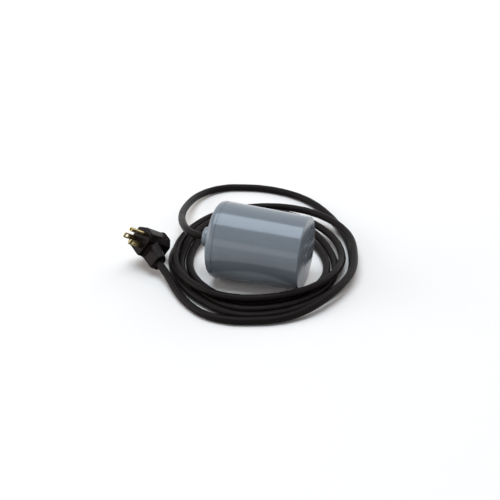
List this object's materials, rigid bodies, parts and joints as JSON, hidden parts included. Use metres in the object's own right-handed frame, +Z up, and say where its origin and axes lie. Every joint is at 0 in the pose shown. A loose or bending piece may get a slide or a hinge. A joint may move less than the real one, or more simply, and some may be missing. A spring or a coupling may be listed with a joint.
{
  "type": "tethered float switch",
  "caption": "Tethered float switch for a sump pump: a grey drum float on a black cord in loose loops, with a piggyback plug.",
  "frame": {"origin": "on the floor under the middle of the float's length, the float lying on its side", "axes": "+X along the float from its cord end to its flat end, +Z up"},
  "size_m": [0.2559, 0.3296, 0.086],
  "materials": {
    "shell_plastic": "glossy moulded, grey",
    "cap_plastic": "glossy moulded, grey",
    "seal_rubber": "smooth",
    "gland_rubber": "smooth",
    "potting": "cast",
    "cord_jacket": "satin",
    "wire_jacket": "satin",
    "carrier_plastic": "moulded",
    "screw_steel": "plated",
    "tube_plastic": "moulded",
    "ball_steel": "polished",
    "lever_steel": "plated",
    "switch_plastic": "moulded",
    "spring_brass": "rolled",
    "plunger_plastic": "moulded",
    "foam": "closed cell",
    "plug_plastic": "satin moulded",
    "prong_brass": "rolled and stamped"
  },
  "bodies": {
    "float": {"float_body": "shell_plastic", "float_cap": "cap_plastic", "cap_seal": "seal_rubber", "cord_grommet": "gland_rubber", "gland_ring": "carrier_plastic", "potting_plug": "potting", "cord_collar": "gland_rubber", "cord_inside": "cord_jacket", "switch_carrier": "carrier_plastic", "carrier_screws": "screw_steel", "ball_tube": "tube_plastic", "tube_end_cap": "tube_plastic", "lever_pin": "lever_steel", "switch_case": "switch_plastic", "switch_cover": "switch_plastic", "terminal_common": "spring_brass", "terminal_switched": "spring_brass", "foam_core": "foam", "wire_common": "wire_jacket", "wire_switched": "wire_jacket", "plug_body": "plug_plastic", "plug_face": "plug_plastic", "receptacle_face": "plug_plastic", "contact_carrier": "switch_plastic", "prong_line": "prong_brass", "prong_neutral": "prong_brass", "prong_ground": "prong_brass", "contact_line": "spring_brass", "contact_neutral": "spring_brass", "contact_ground": "spring_brass", "plug_sleeve": "gland_rubber", "plug_cord_core": "cord_jacket", "cord_lead": "cord_jacket", "cord_coil": "cord_jacket", "cord_tail": "cord_jacket"},
    "ball": {"steel_ball": "ball_steel"},
    "lever": {"trip_lever": "lever_steel"},
    "plunger": {"plunger": "plunger_plastic"},
    "blade": {"snap_blade": "spring_brass"}
  },
  "joints": [
    {"name": "ball_roll", "type": "slide", "parent": "float", "child": "ball", "axis": [-0.9996, 0, 0.0287], "range_m": [0, 0.024]},
    {"name": "lever_swing", "type": "hinge", "parent": "float", "child": "lever", "pos_m": [0.00136, 0, 0.04889], "axis": [0, 1, 0], "range_deg": [0, 12]},
    {"name": "plunger_press", "type": "slide", "parent": "float", "child": "plunger", "axis": [-0.9996, 0, 0.0287], "range_m": [0, 0.001]},
    {"name": "blade_swing", "type": "hinge", "parent": "float", "child": "blade", "pos_m": [-0.00882, 0, 0.03247], "axis": [0, -1, 0], "range_deg": [0, 7]}
  ],
  "couplings": [
    {"joint": "lever_swing", "follows": "ball_roll", "rad_per_m": 8.7265},
    {"joint": "plunger_press", "follows": "ball_roll", "ratio": 0.041666},
    {"joint": "blade_swing", "follows": "ball_roll", "rad_per_m": 5.0904}
  ]
}
